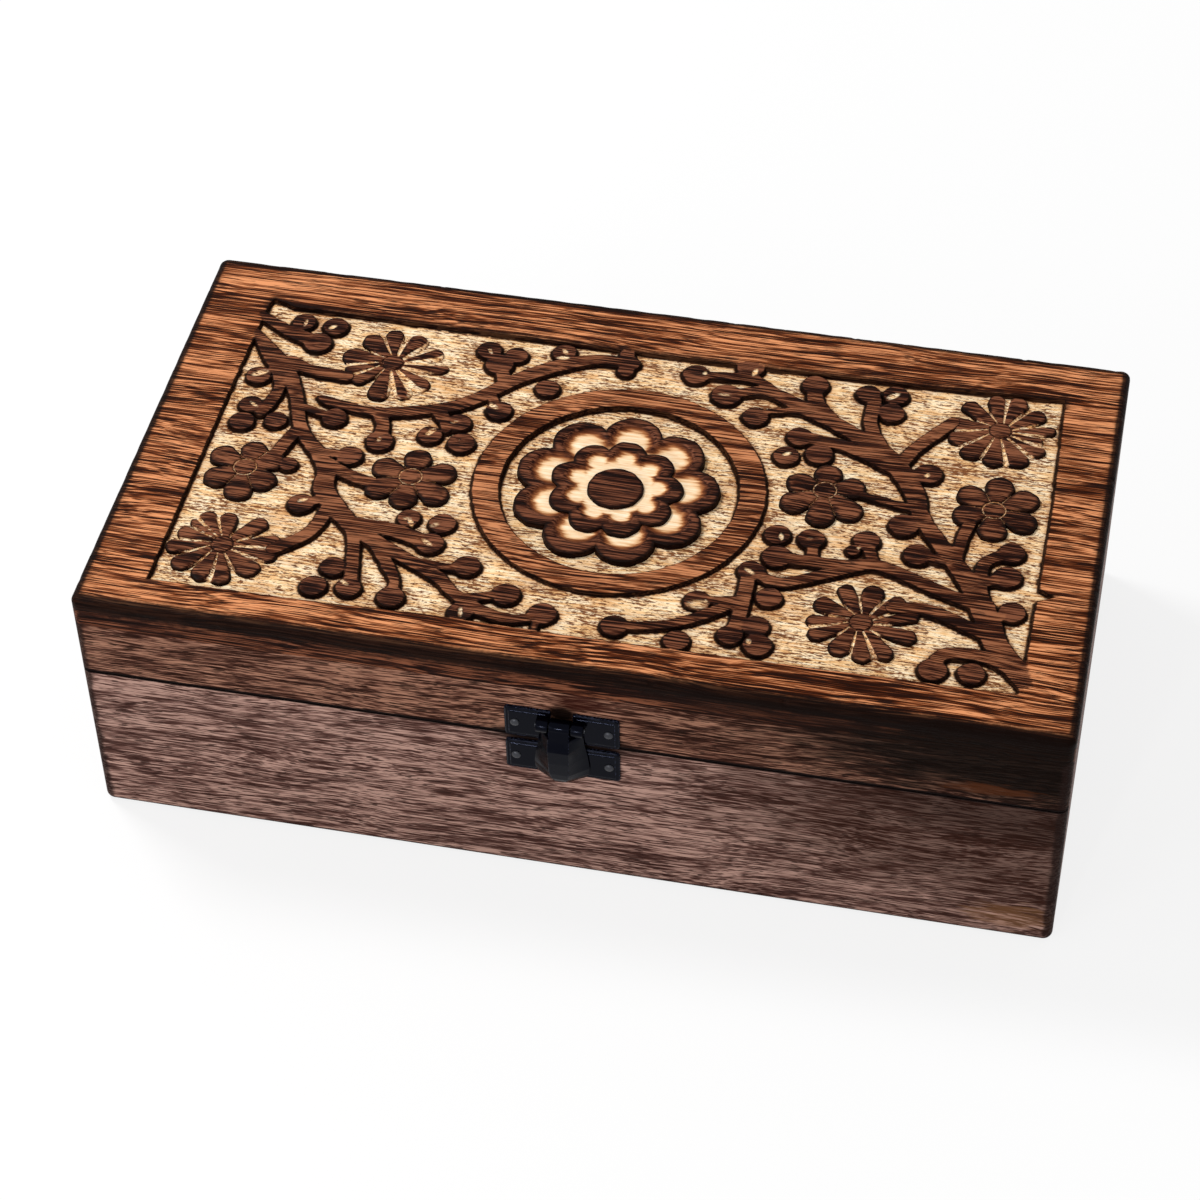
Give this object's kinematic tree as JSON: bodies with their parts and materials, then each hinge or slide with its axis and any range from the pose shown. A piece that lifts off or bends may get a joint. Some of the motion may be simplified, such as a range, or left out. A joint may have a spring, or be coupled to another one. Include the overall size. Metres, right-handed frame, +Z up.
{
  "type": "essential oil box",
  "caption": "Low wooden box with a flower-carved hinged lid, divider cells for small bottles and a black snap latch on the front.",
  "frame": {"origin": "middle of the underside, on the surface that the box stands on", "axes": "+X along the length to the viewer's right, -Y to the front with the latch, +Z up"},
  "size_m": [0.256, 0.144, 0.077],
  "materials": {
    "carved_wood": "stained and burnt relief over a raw pale floor, waxed",
    "box_wood": "walnut-brown stained hardwood, open grain, waxed",
    "divider_wood": "plain thin hardwood strips",
    "bottom_wood": "plain board",
    "black_steel": "glossy black lacquered steel",
    "fastener_steel": "worn black steel"
  },
  "bodies": {
    "base": {"base_front_board": "box_wood", "base_back_board": "box_wood", "base_left_board": "box_wood", "base_right_board": "box_wood", "bottom_panel": "bottom_wood", "divider_long_1": "divider_wood", "divider_long_2": "divider_wood", "divider_cross_1": "divider_wood", "divider_cross_2": "divider_wood", "divider_cross_3": "divider_wood", "divider_cross_4": "divider_wood", "divider_cross_5": "divider_wood", "divider_cross_6": "divider_wood", "divider_cross_7": "divider_wood", "hinge_left_base_leaf": "black_steel", "hinge_right_base_leaf": "black_steel", "hinge_left_pin": "fastener_steel", "hinge_right_pin": "fastener_steel", "hinge_screws_base": "fastener_steel", "latch_catch_plate": "black_steel", "latch_nails_base": "fastener_steel"},
    "lid": {"lid_top_panel": "carved_wood", "lid_front_rail": "box_wood", "lid_back_rail": "box_wood", "lid_left_rail": "box_wood", "lid_right_rail": "box_wood", "hinge_left_lid_leaf": "black_steel", "hinge_right_lid_leaf": "black_steel", "hinge_screws_lid": "fastener_steel", "latch_upper_plate": "black_steel", "latch_pin": "fastener_steel", "latch_nails_lid": "fastener_steel"},
    "tongue": {"latch_tongue": "black_steel"}
  },
  "joints": [
    {"name": "lid_hinge", "type": "hinge", "parent": "base", "child": "lid", "pos_m": [0, 0.0674, 0.0511], "axis": [-1, 0, 0], "range_deg": [0, 105]},
    {"name": "latch_hinge", "type": "hinge", "parent": "lid", "child": "tongue", "pos_m": [0, -0.0713, 0.0585], "axis": [-1, 0, 0], "range_deg": [0, 165]}
  ]
}
